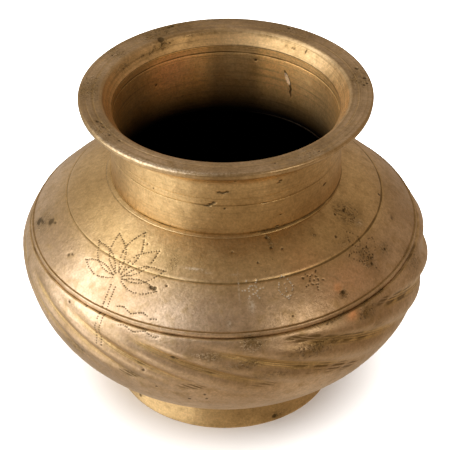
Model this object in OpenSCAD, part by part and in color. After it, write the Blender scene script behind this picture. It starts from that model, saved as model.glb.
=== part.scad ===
// Lota: a squat, round-bodied brass water pot with spiral lobes on the bowl,
// a short collar neck, a flat turned-out rim and a plain foot ring.
// The pot's axis is +Z, and the foot ring stands on the plane z = 0.
// The separate rings are brazed together face to face, and each braze is a ring too.

/* [Body] */
// Largest diameter of the body
body_d = 150; // [146:1:154]
// Height of the widest level above the ground
belly_h = 60; // [58:0.5:62]
// Half height of the ellipse that the bowl's outside follows
bowl_depth = 57; // [56.5:0.5:58]
// Height of the dome that the shoulder's outside follows
crown_depth = 41.2; // [40:0.1:43]
// Fullness of the shoulder: 1 is a straight cone and 2 is an ellipse
crown_power = 1.6; // [1.5:0.05:1.7]
// Thickness of the cast wall where it is thinnest
wall = 2.2; // [1.8:0.1:2.6]

/* [Spiral lobes] */
// Number of lobes round the bowl
lobe_count = 14; // [8:1:20]
// Depth of the valleys between the lobes
lobe_depth = 1.8; // [0:0.1:2.2]
// Turn of a valley for each millimetre that it runs down, in degrees
lobe_twist = 2.2; // [0:0.1:3]
// How far the hand-set lobes stray from even spacing, in degrees
lobe_stray = 15; // [0:1:18]
// Height at which the lobes have died away
lobe_low_h = 38; // [34:1:44]

/* [Belt and shoulder line] */
// Height of the belt's lower edge above the ground
belt_h = 67; // [65:0.5:69]
// Width of the raised belt, measured up the axis
belt_w = 2; // [1.4:0.1:2.6]
// Height of the engraved line round the shoulder
shoulder_line_h = 80.8; // [76:0.2:84]
// Depth of the engraved lines on the body
line_depth = 0.45; // [0.2:0.05:0.6]

/* [Neck and rim] */
// Outside diameter of the neck
neck_d = 83.6; // [82:0.2:87]
// Thickness of the neck's wall
neck_wall = 1.8; // [1.4:0.1:2.4]
// Length of the neck from the shoulder to the rim
neck_len = 26.2; // [24:0.2:32]
// Height of the rim ring
rim_h = 5.1; // [4.8:0.1:5.6]
// Outside diameter of the rim
rim_d = 105.8; // [103:0.2:110]
// Thickness of the rim at its outer edge
lip_t = 2.6; // [2:0.1:3]

/* [Foot] */
// Diameter of the foot ring where it stands
foot_d = 82; // [80:0.5:86]
// Height of the foot ring with its braze
foot_h = 11.5; // [11:0.5:13]
// Thickness of the foot ring's wall
foot_wall = 2.8; // [2.2:0.1:3.4]

/* [Hidden] */

round_fn = 180;
body_steps = 20;
curve_steps = 8;

// Colours of the metal: dull body and rim, cleaner neck and foot, dark brazes
body_colour = [0.67, 0.54, 0.39];
rim_colour = [0.60, 0.50, 0.37];
turned_colour = [0.74, 0.57, 0.33];
seam_colour = [0.38, 0.29, 0.17];

body_r = body_d / 2;
neck_r = neck_d / 2;
neck_in_r = neck_r - neck_wall;
rim_r = rim_d / 2;
foot_r = foot_d / 2;

// The bowl's outside is a quarter ellipse below the belly, and the shoulder's a fuller dome above it
function dome_r(r, rise, depth, power) = r * pow(max(0, 1 - pow(rise / depth, power)), 1 / power);
function dome_rise(r, at_r, depth, power) = depth * pow(1 - pow(at_r / r, power), 1 / power);
function outside_r(z) = z < belly_h
    ? dome_r(body_r, belly_h - z, bowl_depth, 2)
    : dome_r(body_r, z - belly_h, crown_depth, crown_power);

// The cavity is smooth, with a fuller curve below the belly, which flattens its floor
floor_t = 2.6;
hollow_z = 7.5;
floor_h = hollow_z + floor_t;
cavity_r = body_r - lobe_depth - wall;
cavity_power = 2.35;
cavity_depth = belly_h - floor_h;
function inside_r(z) = z < belly_h
    ? dome_r(cavity_r, belly_h - z, cavity_depth, cavity_power)
    : max(neck_in_r, dome_r(cavity_r, z - belly_h, crown_depth - wall, crown_power));

// Levels of the joints, from the ground up
seam_h = 0.8;
belt_top_h = belt_h + belt_w;
neck_base_h = belly_h + dome_rise(body_r, neck_r, crown_depth, crown_power);
neck_top_h = neck_base_h + neck_len;
rim_base_h = neck_top_h + seam_h;
rim_top_h = rim_base_h + rim_h;

function steps(from, to, count) = [for (i = [0 : count]) from + (to - from) * i / count];
function curve(a, b, c) = [
    for (i = [0 : curve_steps])
        let (t = i / curve_steps)
        a * (1 - t) * (1 - t) + b * 2 * t * (1 - t) + c * t * t
];
function arc(centre, r, from, to) = [
    for (turn = steps(from, to, curve_steps)) centre + r * [cos(turn), sin(turn)]
];

// A V-shaped line cut into a profile at a point
module line_cut(at, depth) {
    translate(at) rotate(45) square(depth * sqrt(2), center = true);
}

module turned(colour) {
    color(colour) rotate_extrude($fn = round_fn) children();
}

// A flat ring with the given radii between two levels
module flat_ring(colour, inner, outer, low, high) {
    turned(colour) translate([inner, low]) square([outer - inner, high - low]);
}

// Foot ring: a plain band that spreads a little towards the ground
foot_top_r = outside_r(foot_h);
foot_ring_h = foot_h - seam_h;
foot_edge = 0.5;
foot_brim = 0.3;
module foot_ring() {
    turned(turned_colour) polygon([
        [foot_r - foot_wall + foot_edge, 0],
        [foot_r - foot_edge, 0],
        [foot_r, foot_edge],
        [foot_top_r + foot_brim, foot_ring_h],
        [foot_top_r - foot_wall, foot_ring_h],
        [foot_r - foot_wall, foot_edge]
    ]);
}

module foot_seam() {
    flat_ring(seam_colour, foot_top_r - foot_wall, foot_top_r, foot_ring_h, foot_h);
}

// Lobes: each valley is a crease between two round crests, and it turns as it runs down
lobe_steps = 8;
lobe_columns = lobe_count * lobe_steps;
plain_rows = 8;
lobe_rows = 22;
bowl_rows = plain_rows + lobe_rows;
lobe_end_gap = 0.6;
lobe_top_h = belt_h - lobe_end_gap;
lobe_stray_at = -51;
first_valley_at = -72;
valley_level_h = 55;
rise_share = 0.22;
fade_share = 0.55;
function ease(x) = let (t = min(1, max(0, x))) t * t * (3 - 2 * t);
function lobe_strength(z) =
    let (down = (lobe_top_h - z) / (lobe_top_h - lobe_low_h))
    ease(down / rise_share) * ease((1 - down) / fade_share);
function valley_r(z, i) =
    outside_r(z) - lobe_depth * lobe_strength(z) * (1 - sin(180 * (i % lobe_steps) / lobe_steps));
function valley_turn(z, i) =
    let (even = first_valley_at + 360 * i / lobe_columns)
    even - lobe_stray * sin(even - lobe_stray_at) + lobe_twist * (valley_level_h - z) - 90;
bowl_levels = [
    for (row = [0 : bowl_rows]) row < plain_rows
        ? foot_h + (lobe_low_h - foot_h) * row / plain_rows
        : lobe_low_h + (belt_h - lobe_low_h) * (row - plain_rows) / lobe_rows
];
function bowl_point(row, i) =
    let (z = bowl_levels[row], r = valley_r(z, i), turn = valley_turn(z, i))
    [r * cos(turn), r * sin(turn), z];
function grid(row, i) = row * lobe_columns + i % lobe_columns;

module lobed_body() {
    polyhedron(
        points = [for (row = [0 : bowl_rows]) for (i = [0 : lobe_columns - 1]) bowl_point(row, i)],
        faces = concat(
            [for (row = [0 : bowl_rows - 1]) for (i = [0 : lobe_columns - 1])
                [grid(row, i), grid(row + 1, i), grid(row, i + 1)]],
            [for (row = [0 : bowl_rows - 1]) for (i = [0 : lobe_columns - 1])
                [grid(row, i + 1), grid(row + 1, i), grid(row + 1, i + 1)]],
            [[for (i = [0 : lobe_columns - 1]) grid(0, i)]],
            [[for (i = [lobe_columns - 1 : -1 : 0]) grid(bowl_rows, i)]]
        )
    );
}

// Lower bowl: lobed outside, smooth cavity, and a flat underside inside the foot ring
boss_gap = 0.4;
boss_slope = 5;
boss_top_r = foot_top_r - foot_wall - boss_gap;
boss_low_r = boss_top_r - boss_slope;
floor_edge = 0.3;
overlap = 1;
module lower_bowl() {
    color(body_colour) difference() {
        union() {
            lobed_body();
            rotate_extrude($fn = round_fn) polygon([
                [0, hollow_z], [boss_low_r, hollow_z], [boss_top_r, foot_h],
                [boss_top_r, foot_h + overlap], [0, foot_h + overlap]
            ]);
        }
        rotate_extrude($fn = round_fn) polygon(concat(
            [[0, floor_h]],
            [for (z = steps(floor_h + floor_edge, belt_h + overlap, body_steps)) [inside_r(z), z]],
            [[0, belt_h + overlap]]
        ));
    }
}

// Belt: the braze between the two halves of the body, left standing as a low round band
belt_rise = 0.35;
module belt_seam() {
    middle = [outside_r(belt_h + belt_w / 2), belt_h + belt_w / 2];
    turned(body_colour) polygon(concat(
        [[inside_r(belt_h), belt_h]],
        arc(middle - [belt_w / 2 - belt_rise, 0], belt_w / 2, -90, 90),
        [[inside_r(belt_top_h), belt_top_h]]
    ));
}

// Shoulder: a dome with one engraved line, its lower edge cut back beside the belt
shoulder_top_h = neck_base_h - seam_h;
module shoulder_shell() {
    turned(body_colour) difference() {
        polygon(concat(
            [[outside_r(belt_top_h) - line_depth, belt_top_h]],
            [for (z = steps(belt_top_h + line_depth, shoulder_top_h, body_steps)) [outside_r(z), z]],
            [for (z = steps(shoulder_top_h, belt_top_h, body_steps)) [inside_r(z), z]]
        ));
        line_cut([outside_r(shoulder_line_h), shoulder_line_h], line_depth);
    }
}

// The brazes at the neck lie back a little from both faces, so that they show as lines
seam_set_back = 0.3;
module neck_seam() {
    flat_ring(seam_colour, neck_in_r, neck_r - seam_set_back, shoulder_top_h, neck_base_h);
}

// Neck: a short collar, a little narrower at its middle, that spreads under the rim. Its inside
// widens towards the throat and has one engraved line near the top, and its outside has two.
flare_h = 5.6;
flare_spread = 4.4;
flare_r = neck_r + flare_spread;
flare_bend = [0.2, 2];
throat_r = neck_in_r + 1;
taper_h = 6;
mouth_line_down = 2;
waist = 0.3;
neck_lines = [11.8, 14.6];
neck_line_depth = 0.25;
module neck_collar() {
    mouth_line_r = throat_r - (throat_r - neck_in_r) * mouth_line_down / taper_h;
    turned(turned_colour) difference() {
        polygon(concat(
            [[neck_in_r, neck_base_h], [neck_r, neck_base_h]],
            [[neck_r - waist, neck_base_h + (neck_len - flare_h) / 2]],
            curve(
                [neck_r, neck_top_h - flare_h],
                [neck_r + flare_bend.x, neck_top_h - flare_bend.y],
                [flare_r, neck_top_h]
            ),
            [[throat_r, neck_top_h], [neck_in_r, neck_top_h - taper_h]]
        ));
        for (up = neck_lines) line_cut([neck_r - waist / 2, neck_base_h + up], neck_line_depth);
        line_cut([mouth_line_r, neck_top_h - mouth_line_down], neck_line_depth);
    }
}

module rim_seam() {
    flat_ring(
        seam_colour, throat_r + seam_set_back, flare_r - seam_set_back, neck_top_h, rim_base_h
    );
}

// Rim: flat on top with one engraved line, upright at the outer edge, rolled down into the throat
lip_top_r = 0.6;
lip_low_r = 0.8;
lip_low_h = rim_top_h - lip_t;
lip_low_from = -80;
under_bend = [1.6, 0.5];
roll_r = throat_r + 2.8;
roll_w = 2.8;
roll_h = 1.2;
rim_line_r = neck_in_r + 7.6;
rim_line_depth = 0.2;
module rim_ring() {
    turned(rim_colour) difference() {
        polygon(concat(
            curve(
                [flare_r, rim_base_h],
                [flare_r + under_bend.x, lip_low_h - under_bend.y],
                [rim_r - lip_low_r, lip_low_h]
            ),
            arc([rim_r, lip_low_h] + [-lip_low_r, lip_low_r], lip_low_r, lip_low_from, 0),
            arc([rim_r, rim_top_h] - [lip_top_r, lip_top_r], lip_top_r, 0, 90),
            curve(
                [roll_r + roll_w, rim_top_h],
                [roll_r + roll_w / 2, rim_top_h],
                [roll_r, rim_top_h - roll_h]
            ),
            [[throat_r, rim_base_h]]
        ));
        line_cut([rim_line_r, rim_top_h], rim_line_depth);
    }
}

foot_ring();
foot_seam();
lower_bowl();
belt_seam();
shoulder_shell();
neck_seam();
neck_collar();
rim_seam();
rim_ring();
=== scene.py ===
import math

import bpy
import numpy as np
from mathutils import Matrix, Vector


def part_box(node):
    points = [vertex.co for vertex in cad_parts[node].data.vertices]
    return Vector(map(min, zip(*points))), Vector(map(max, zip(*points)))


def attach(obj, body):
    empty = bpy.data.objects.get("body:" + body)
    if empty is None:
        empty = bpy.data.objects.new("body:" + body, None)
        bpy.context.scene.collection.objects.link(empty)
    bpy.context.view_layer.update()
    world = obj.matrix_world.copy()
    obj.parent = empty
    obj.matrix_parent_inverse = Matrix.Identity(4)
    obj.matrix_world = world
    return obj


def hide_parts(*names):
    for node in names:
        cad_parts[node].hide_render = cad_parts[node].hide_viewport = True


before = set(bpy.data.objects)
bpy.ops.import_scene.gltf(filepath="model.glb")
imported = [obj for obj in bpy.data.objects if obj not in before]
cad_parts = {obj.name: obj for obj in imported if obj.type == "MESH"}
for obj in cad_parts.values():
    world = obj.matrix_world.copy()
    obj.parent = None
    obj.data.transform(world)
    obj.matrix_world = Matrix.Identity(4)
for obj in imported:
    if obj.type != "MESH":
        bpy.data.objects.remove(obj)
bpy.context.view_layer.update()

# The pot is measured in millimetres here, and the meshes are made in metres. An angle is in
# degrees round the axis: 0 is the front, which faces -Y, and 90 is the side that faces +X.
MM = 0.001


def node_box(node):
    """The lowest and highest corner of a CAD node, in millimetres."""
    low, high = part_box(node)
    return np.array(low) / MM, np.array(high) / MM


# Sizes read from the frame
BELT_LOW, BELT_HIGH = (corner[2] for corner in node_box("belt_seam"))
FOOT_SEAM_LOW, FOOT_H = (corner[2] for corner in node_box("foot_seam"))
SHOULDER_TOP, NECK_BASE = (corner[2] for corner in node_box("neck_seam"))
NECK_TOP, RIM_BASE = (corner[2] for corner in node_box("rim_seam"))
RIM_TOP = node_box("rim_ring")[1][2]
RIM_R = node_box("rim_ring")[1][0]
FOOT_R = node_box("foot_ring")[1][0]

# The body's curves, as in the CAD model, but for the neck, which stands 0.2 mm further out here
BODY_R = 75.0
BELLY_H = 60.0
BOWL_DEPTH = 57.0
CROWN_DEPTH = 41.2
CROWN_POWER = 1.6
WALL = 2.2
NECK_R = 42.0
NECK_IN_R = 40.0
THROAT_R = 41.0
FLARE_R = 46.2
CAVITY_R = 71.0
CAVITY_DEPTH = 49.9
CAVITY_POWER = 2.35
HOLLOW_Z = 7.5
FLOOR_Z = 10.1

# The neck and the rim stand a little to the right of the body's axis
NECK_OFF = 0.45

# Spiral lobes
LOBES = 14
LOBE_DEPTH = 1.8
LOBE_TWIST = 2.2
LOBE_STRAY = 15.0
LOBE_LOW = 38.0
LOBE_TOP = 66.4

# Hand-cut lines
SHOULDER_LINE = 80.8
NECK_LINES = (11.8, 14.6)


# ---------------------------------------------------------------- shapes

def dome(radius, rise, depth, power):
    """Radius of a dome at a height above its widest level."""
    return radius * np.maximum(0.0, 1 - np.abs(rise / depth) ** power) ** (1 / power)


def outside_r(z):
    """Radius of the body's outside at a height, without its lobes."""
    return np.where(
        z < BELLY_H,
        dome(BODY_R, BELLY_H - z, BOWL_DEPTH, 2),
        dome(BODY_R, z - BELLY_H, CROWN_DEPTH, CROWN_POWER),
    )


def inside_r(z):
    """Radius of the cavity at a height."""
    low = dome(CAVITY_R, BELLY_H - z, CAVITY_DEPTH, CAVITY_POWER)
    high = dome(CAVITY_R, z - BELLY_H, CROWN_DEPTH - WALL, CROWN_POWER)
    return np.where(z < BELLY_H, low, np.maximum(NECK_IN_R, high))


def smooth(x):
    """An even step from 0 to 1 as x goes from 0 to 1."""
    t = np.clip(x, 0, 1)
    return t * t * (3 - 2 * t)


def bell(distance, width):
    """1 in the middle, and close to 0 at twice the width from it."""
    return np.exp(-(distance / width) ** 2)


def off_angle(angle, at):
    """How far round an angle lies from another, between -180 and 180."""
    return (angle - at + 180) % 360 - 180


def spread(*zones):
    """Values along a line of zones (from, to, step), without the last one's end."""
    return np.concatenate([
        np.linspace(low, high, max(1, round(abs(high - low) / step)), endpoint=False)
        for low, high, step in zones
    ])


def ripple(points, scale, seed, waves=10):
    """A smooth random field between about -1 and 1 with features of that size in millimetres."""
    dice = np.random.default_rng(seed)
    total = np.zeros(points.shape[:-1])
    for _ in range(waves):
        direction = dice.normal(size=3)
        direction *= dice.uniform(0.6, 1.4) / np.linalg.norm(direction)
        total += np.cos(points @ direction * (2 * math.pi / scale) + dice.uniform(0, 2 * math.pi))
    return total * 1.4 / waves


def turn(r, angle, z):
    """Points at a radius, an angle and a height."""
    a = np.radians(angle)
    return np.stack([r * np.sin(a), -r * np.cos(a), z + 0 * a], axis=-1)


def askew(z, angle):
    """The rings were cut by hand, and those on the body rise a little towards the right."""
    rise = np.interp(z, [40, 66, 70, 81, 92, 100], [0, 1.0, 1.0, 0.45, 0.4, 0])
    return z + rise * np.maximum(0, np.sin(np.radians(angle))) ** 1.3


# ---------------------------------------------------------------- lobes

def lobe_strength(z):
    """How deep the lobes are at a height, from 0 to 1."""
    down = (LOBE_TOP - z) / (LOBE_TOP - LOBE_LOW)
    return smooth(down / 0.22) * smooth((1 - down) / 0.55)


def lobe_place(z, angle):
    """Distance across the lobe, in lobes: 0 in a valley and 0.5 on a crest, with its sign."""
    own = np.asarray(angle - LOBE_TWIST * (55 - z), dtype=float)
    even = own.copy()
    for _ in range(6):
        even = own + LOBE_STRAY * np.sin(np.radians(even + 51))
    count = (even + 72) * LOBES / 360
    return count - np.round(count)


# ---------------------------------------------------------------- punched ornament

def arc_table():
    z = np.linspace(FOOT_H, NECK_BASE, 800)
    r = outside_r(z)
    steps = np.hypot(np.diff(z), np.diff(r))
    return z, np.concatenate([[0], np.cumsum(steps)])


ARC_Z, ARC_S = arc_table()


def on_body(centre, across, up):
    """The angle and height of a point so far across and up from a centre, along the surface."""
    s = np.interp(centre[1], ARC_Z, ARC_S) + np.asarray(up)
    z = np.interp(s, ARC_S, ARC_Z)
    return centre[0] + np.degrees(np.asarray(across) / outside_r(z)), z


def curve(*stops, count=12):
    """A smooth path through stops."""
    stops = np.array(stops, dtype=float)
    padded = np.concatenate([[2 * stops[0] - stops[1]], stops, [2 * stops[-1] - stops[-2]]])
    t = np.linspace(0, 1, count, endpoint=False)[:, None]
    path = []
    for a, b, c, d in zip(padded, padded[1:], padded[2:], padded[3:]):
        path.append(0.5 * (2 * b + (c - a) * t + (2 * a - 5 * b + 4 * c - d) * t ** 2
                           + (3 * b - a - 3 * c + d) * t ** 3))
    return np.concatenate([*path, stops[-1:]])


def dotted(path, pitch):
    """Points at an even pitch along a path."""
    gaps = np.hypot(*np.diff(path, axis=0).T)
    along = np.concatenate([[0], np.cumsum(gaps)])
    stops = np.arange(0, along[-1], pitch)
    return np.stack([np.interp(stops, along, path[:, k]) for k in (0, 1)], axis=-1)


PUNCH_PITCH = 0.92
PUNCH_R = 0.32
LOTUS_AT = (-37.0, 77.2)
# The lotus's petals: lean from upright, length and half width
TOP_PETAL = (0, 19, 3.4)
SIDE_PETALS = ((32, 17, 3.3), (62, 17, 3.0), (90, 16, 2.5))
# Half of a petal: share of its length, and share of its half width there
PETAL_SHAPE = ((0.12, 0.15), (0.35, 0.8), (0.6, 1), (0.82, 0.6), (1, 0))
STALK = (
    ((-1.0, -3), (-0.6, -11), (-1.2, -19), (-0.4, -26)),
    ((1.0, -3), (1.4, -11), (0.8, -19), (1.6, -26)),
)
# Waves of the water under the lotus: middle, level and half length
WAVES = ((13, -9, 8), (-12, -13, 6), (16, -15, 8))
WAVE_H = 0.7
WAVE_POINTS = 9


def strokes(centre, paths, pitch=PUNCH_PITCH):
    """Places on the body of the dots along some paths."""
    dots = np.concatenate([dotted(curve(*path), pitch) for path in paths])
    return on_body(centre, dots[:, 0], dots[:, 1])


def petal(lean, length, half_width):
    """A pointed petal that leans from upright: up one side to its tip, and down the other."""
    across, up = np.sin(np.radians(lean)), np.cos(np.radians(lean))
    sides = [[(length * along * across + side * half_width * out * up,
               length * along * up - side * half_width * out * across) for along, out in PETAL_SHAPE]
             for side in (-1, 1)]
    return tuple(sides[0] + sides[1][::-1])


def wave(middle, level, half_length):
    """A line of water that rises and falls twice."""
    return tuple((middle + half_length * share, level + WAVE_H * float(np.sin(2 * np.pi * share)))
                 for share in np.linspace(-1, 1, WAVE_POINTS))


def lotus():
    """A plain lotus: an even fan of petals on a stalk, over water."""
    petals = [petal(*TOP_PETAL)]
    for lean, length, half_width in SIDE_PETALS:
        petals += [petal(side * lean, length, half_width) for side in (-1, 1)]
    return (*petals, *STALK, *(wave(*place) for place in WAVES))


def rosette(centre, radius, leaves):
    """A small round flower: a ring of dots round a centre dot, with short leaves."""
    ring = np.radians(np.arange(0, 360, 360 / max(6, round(2 * math.pi * radius / PUNCH_PITCH))))
    across, up = [0.0, *(radius * np.sin(ring))], [0.0, *(radius * np.cos(ring))]
    for k in range(leaves):
        a = 2 * math.pi * (k + 0.5) / leaves
        for reach in (radius + 1.2, radius + 2.2):
            across.append(reach * math.sin(a))
            up.append(reach * math.cos(a))
    return on_body(centre, np.array(across), np.array(up))


# A leaf and a sprig on the right, in millimetres across and up from their middle
LEAF = (((0, -4.4), (-2.6, -0.6), (0, 4.2), (2.6, -0.6), (0, -4.4)), ((0, -4.4), (0, 2)))
SPRIG = (
    ((0, -6), (0.6, -1), (0, 4)), ((0, 4), (-2.4, 7), (0, 11), (2.4, 7), (0, 4)),
    ((0.4, -2), (-4.5, 0), (-7, 4), (-2.6, 3), (0.4, -2)),
    ((0.4, -2), (4.6, -0.6), (8, 3), (3, 3), (0.4, -2)),
)


def shaken(dots, amount, keep, seed, chalk=0.0):
    """Hand-punched dots: none is quite in line, a few are missing, and no two are as deep."""
    dice = np.random.default_rng(seed)
    angle, z = dots
    angle = angle + np.degrees(dice.normal(0, amount, len(angle)) / BODY_R)
    z = z + dice.normal(0, amount, len(z)) * 0.8
    depth = dice.uniform(0.65, 1.0, len(z))
    kept = dice.random(len(z)) < keep
    return np.stack([angle, z, depth, np.full(len(z), chalk)], axis=-1)[kept]


# The last number of a shaken line, where given, is how much painted glint its dots get
PUNCHES = np.concatenate([
    shaken(strokes(LOTUS_AT, lotus()), 0.06, 0.97, 1),
    shaken(rosette((9.2, 79.2), 1.5, 6), 0.08, 0.95, 2, 1.0),
    shaken(strokes((20.2, 78.6), LEAF), 0.08, 0.8, 7, 0.8),
    shaken(rosette((30.6, 78.2), 1.7, 5), 0.14, 0.9, 4),
    shaken(strokes((54.0, 77.0), SPRIG, 1.1), 0.15, 0.9, 5),
])

# Pits left by the casting and by use: angle, height, radius, depth
PITS = (
    (-78.0, 75.4, 1.5, 0.5), (-76.0, 76.6, 0.8, 0.4), (-83.5, 71.6, 1.6, 0.5), (-81.5, 72.6, 1.0, 0.4),
    (-24.4, 77.9, 0.6, 0.6), (-23.2, 77.9, 0.7, 0.7), (-59.0, 75.2, 0.9, 0.25), (-58.0, 75.9, 0.6, 0.25),
    (-14.2, 58.6, 0.8, 0.6), (-12.9, 58.3, 0.4, 0.5), (-23.0, 50.0, 0.6, 0.4), (-19.5, 79.0, 0.35, 0.5),
    (38.0, 72.6, 0.9, 0.4), (53.3, 74.6, 0.6, 0.5), (56.0, 78.4, 0.45, 0.5), (56.3, 87.2, 0.5, 0.4),
    (61.5, 86.6, 0.6, 0.4), (19.5, 86.9, 0.5, 0.5), (18.9, 88.8, 0.5, 0.5), (24.0, 86.2, 0.4, 0.4),
    (77.0, 77.0, 1.0, 0.3), (62.0, 74.8, 0.6, 0.4), (-5.8, 41.0, 0.6, 0.4), (-20.0, 41.5, 0.5, 0.4),
    (-49.0, 65.2, 0.5, 0.5), (-45.5, 68.2, 0.3, 0.4), (12.6, 84.6, 0.4, 0.4), (3.0, 87.0, 0.4, 0.4),
    (-33.0, 86.0, 0.3, 0.5), (20.0, 71.4, 0.35, 0.4), (27.0, 79.4, 0.5, 0.4), (48.0, 84.0, 0.5, 0.4),
)

# Stains: angle, height, half their width in degrees, half their height, strength
STAINS = (
    (7.5, 65.8, 3.6, 3.2, 1.0), (25.0, 59.0, 9.0, 3.2, 0.9), (43.0, 64.4, 4.0, 2.6, 1.0),
    (35.5, 67.4, 3.0, 0.9, 1.0), (44.0, 67.2, 3.5, 0.8, 1.0), (50.5, 67.4, 3.0, 0.8, 0.9),
    (-4.0, 61.0, 6.0, 2.2, 0.7), (5.0, 57.0, 6.0, 2.4, 0.7), (38.0, 72.2, 1.8, 1.3, 1.0),
    (-48.0, 45.5, 5.0, 2.5, 0.8), (-27.0, 46.0, 6.0, 2.5, 0.5),
    (53.0, 76.6, 3.5, 3.2, 1.0), (62.0, 85.6, 7.0, 3.4, 0.8), (62.0, 75.0, 4.0, 2.4, 0.6),
    (50.0, 82.0, 9.0, 5.0, 0.4), (19.8, 88.2, 1.2, 2.0, 0.9), (40.0, 86.6, 2.0, 1.0, 0.6),
    (30.0, 66.8, 6.0, 0.8, 0.8),
    (-82.0, 73.0, 5.0, 4.0, 0.7), (-20.0, 84.0, 3.0, 2.0, 0.5), (12.0, 51.0, 12.0, 3.0, 0.55),
    (-2.0, 56.0, 9.0, 3.0, 0.5), (70.0, 66.0, 6.0, 5.0, 0.6), (200.0, 60.0, 20.0, 6.0, 0.6),
    (140.0, 78.0, 12.0, 5.0, 0.5), (260.0, 50.0, 16.0, 5.0, 0.6), (110.0, 50.0, 12.0, 6.0, 0.5),
)

# Hand-cut strokes along the valleys: angle, height, half their width, half their height, strength
CUTS = (
    (19.5, 65.4, 3.0, 0.9, 0.8), (23.5, 63.9, 4.0, 1.1, 1.0), (28.5, 61.8, 4.0, 1.2, 1.0),
    (33.5, 59.6, 4.0, 1.2, 1.0), (38.0, 57.6, 4.0, 1.3, 1.0), (43.0, 55.0, 4.0, 1.4, 0.7),
    (-28.0, 45.2, 3.2, 1.3, 1.0), (-9.5, 45.2, 4.5, 1.3, 0.8), (-23.0, 52.8, 3.0, 1.0, 0.6),
    (9.0, 58.6, 4.0, 1.3, 0.5), (20.5, 51.6, 4.0, 1.3, 0.8), (27.0, 48.8, 4.0, 1.3, 1.0),
    (33.0, 45.8, 4.0, 1.4, 1.0), (38.0, 43.0, 4.0, 1.4, 0.8), (11.0, 46.0, 6.0, 1.5, 0.5),
    (50.0, 64.8, 3.0, 1.1, 0.9), (55.0, 62.4, 4.0, 1.3, 1.0), (60.5, 60.0, 4.0, 1.5, 1.0),
    (-5.0, 53.0, 5.0, 1.2, 0.5), (100.0, 60.0, 8.0, 3.0, 0.7), (150.0, 55.0, 8.0, 4.0, 0.8),
    (190.0, 50.0, 8.0, 4.0, 0.7), (240.0, 58.0, 8.0, 4.0, 0.7), (275.0, 54.0, 8.0, 4.0, 0.7),
)

# Coppery places: angle, height, half their width in degrees, half their height, strength
COPPERY = (
    (38.3, 66.0, 2.0, 1.8, 1.0), (37.2, 74.2, 1.8, 1.5, 0.8), (42.0, 75.0, 10.0, 5.0, 0.28),
    (30.0, 82.0, 8.0, 4.0, 0.2),
    (150.0, 70.0, 8.0, 5.0, 0.25), (220.0, 80.0, 10.0, 4.0, 0.22),
)

# White scuffs and small dents: angle, height, half width in degrees, half height, strength
SCUFFS = (
    (-11.5, 83.4, 3.6, 0.28, 0.8), (-6.6, 82.9, 1.6, 0.2, 0.6), (8.2, 75.6, 1.0, 1.4, 0.9),
    (1.2, 71.4, 0.6, 1.1, 0.8), (4.6, 80.0, 0.22, 3.2, 0.8), (3.6, 82.6, 1.8, 0.2, 0.4),
    (62.0, 83.0, 1.6, 0.8, 0.4), (166.0, 77.0, 2.5, 0.4, 0.5), (228.0, 72.0, 0.8, 1.4, 0.4),
)


def on_skin(angle, z):
    """A mark's place on the body, with its rings askew."""
    level = askew(z, angle)
    return turn(outside_r(level), angle, level)


def sunk(points, marks):
    """How deep each point lies in a round mark, for marks (angle, z, radius, depth)."""
    depth = np.zeros(points.shape[:-1])
    ragged = 1 + 0.35 * ripple(points, 1.8, 61)
    for angle, z, radius, deep in marks:
        away = np.linalg.norm(points - on_skin(angle, z), axis=-1) * ragged
        depth = np.maximum(depth, deep * bell(away, radius))
    return depth


def patches(angle, z, marks):
    """How strongly each point is covered by an oval patch, from 0 to 1."""
    cover = np.zeros(np.shape(angle))
    for at, up, wide, high, strength in marks:
        around = off_angle(angle, at)
        cover = np.maximum(cover, strength * np.exp(-(around / wide) ** 2 - ((z - up) / high) ** 2))
    return cover


def punched(points):
    """Depth in the punched dots, from 0 to 1, and their painted glint, worked out only near them."""
    flat = points.reshape(-1, 3)
    depth, chalk = np.zeros(len(flat)), np.zeros(len(flat))
    for angle, z, deep, white in PUNCHES:
        at = on_skin(angle, z)
        near = np.flatnonzero((np.abs(flat - at) < 1.2).all(axis=1))
        dot = deep * bell(np.linalg.norm(flat[near] - at, axis=-1), PUNCH_R)
        depth[near] = np.maximum(depth[near], dot)
        chalk[near] = np.maximum(chalk[near], dot * white)
    return depth.reshape(points.shape[:-1]), chalk.reshape(points.shape[:-1])


def bent_line(a, b, c, count=60):
    t = np.linspace(0, 1, count)[:, None]
    a, b, c = (np.array(p, dtype=float) for p in (a, b, c))
    return a * (1 - t) ** 2 + b * 2 * t * (1 - t) + c * t ** 2


# ---------------------------------------------------------------- meshes

def sweep(name, points, facts, material, nodes, capped=False):
    """A closed skin over rows of points that go round the axis, with its facts as attributes.

    The rows go up the outside and down the inside. A capped skin starts and ends on the axis.
    """
    rows, columns = points.shape[:2]
    grid = np.arange(rows * columns).reshape(rows, columns)
    last = rows - 1 if capped else rows
    below = grid[:last]
    above = np.roll(grid, -1, axis=0)[:last]
    faces = np.stack([below, np.roll(below, -1, 1), np.roll(above, -1, 1), above], axis=-1)
    faces = [tuple(face) for face in faces.reshape(-1, 4).tolist()]
    places = points.reshape(-1, 3)
    if capped:
        ends = [places[grid[row]].mean(axis=0) for row in (0, -1)]
        places = np.concatenate([places, ends])
        first, final = grid[0].tolist(), grid[-1].tolist()
        foot, top = rows * columns, rows * columns + 1
        for j in range(columns):
            k = (j + 1) % columns
            faces.append((foot, first[k], first[j]))
            faces.append((top, final[j], final[k]))
    mesh = bpy.data.meshes.new(name)
    mesh.from_pydata((places * MM).tolist(), [], faces)
    mesh.polygons.foreach_set("use_smooth", [True] * len(mesh.polygons))
    for fact, values in facts.items():
        values = values.reshape(-1)
        if capped:
            values = np.append(values, [values[0], values[-1]])
        mesh.attributes.new(fact, "FLOAT", "POINT").data.foreach_set("value", values.astype(np.float32))
    mesh.materials.append(material)
    mesh.validate()
    piece = bpy.data.objects.new(name, mesh)
    bpy.context.collection.objects.link(piece)
    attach(piece, "root")
    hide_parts(*nodes)
    return piece


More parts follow.
